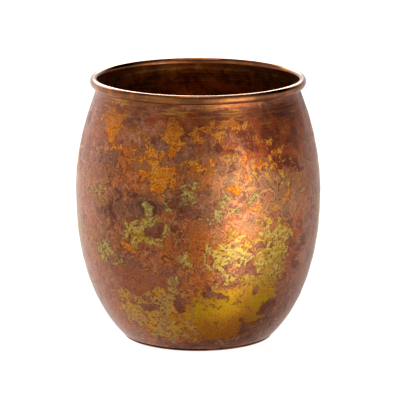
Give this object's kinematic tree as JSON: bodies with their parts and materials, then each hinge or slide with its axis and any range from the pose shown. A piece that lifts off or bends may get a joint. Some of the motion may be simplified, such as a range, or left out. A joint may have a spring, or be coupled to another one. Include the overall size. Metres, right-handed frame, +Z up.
{
  "type": "copper mug",
  "caption": "Handle-less barrel-shaped copper mug with a rolled, wired lip, spun thin wall and a flat brazed-on base disc; holds a drink.",
  "frame": {"origin": "centre of the flat underside of the base, on the table plane", "axes": "+Z up the mug's axis of revolution, towards the open mouth; X and Y are equivalent"},
  "size_m": [0.0904, 0.0904, 0.097],
  "materials": {
    "body_shell": "copper sheet, spun and smooth, heat-coloured brown, orange and yellow patina",
    "rim_wire": "drawn copper wire, hidden in the rolled lip",
    "base_disc": "copper sheet, brown patina, scuffed underneath",
    "base_braze": "brass braze fillet, dull"
  },
  "bodies": {
    "root": {"body_shell": "body_shell", "rim_wire": "rim_wire", "base_disc": "base_disc", "base_braze": "base_braze"}
  },
  "joints": []
}
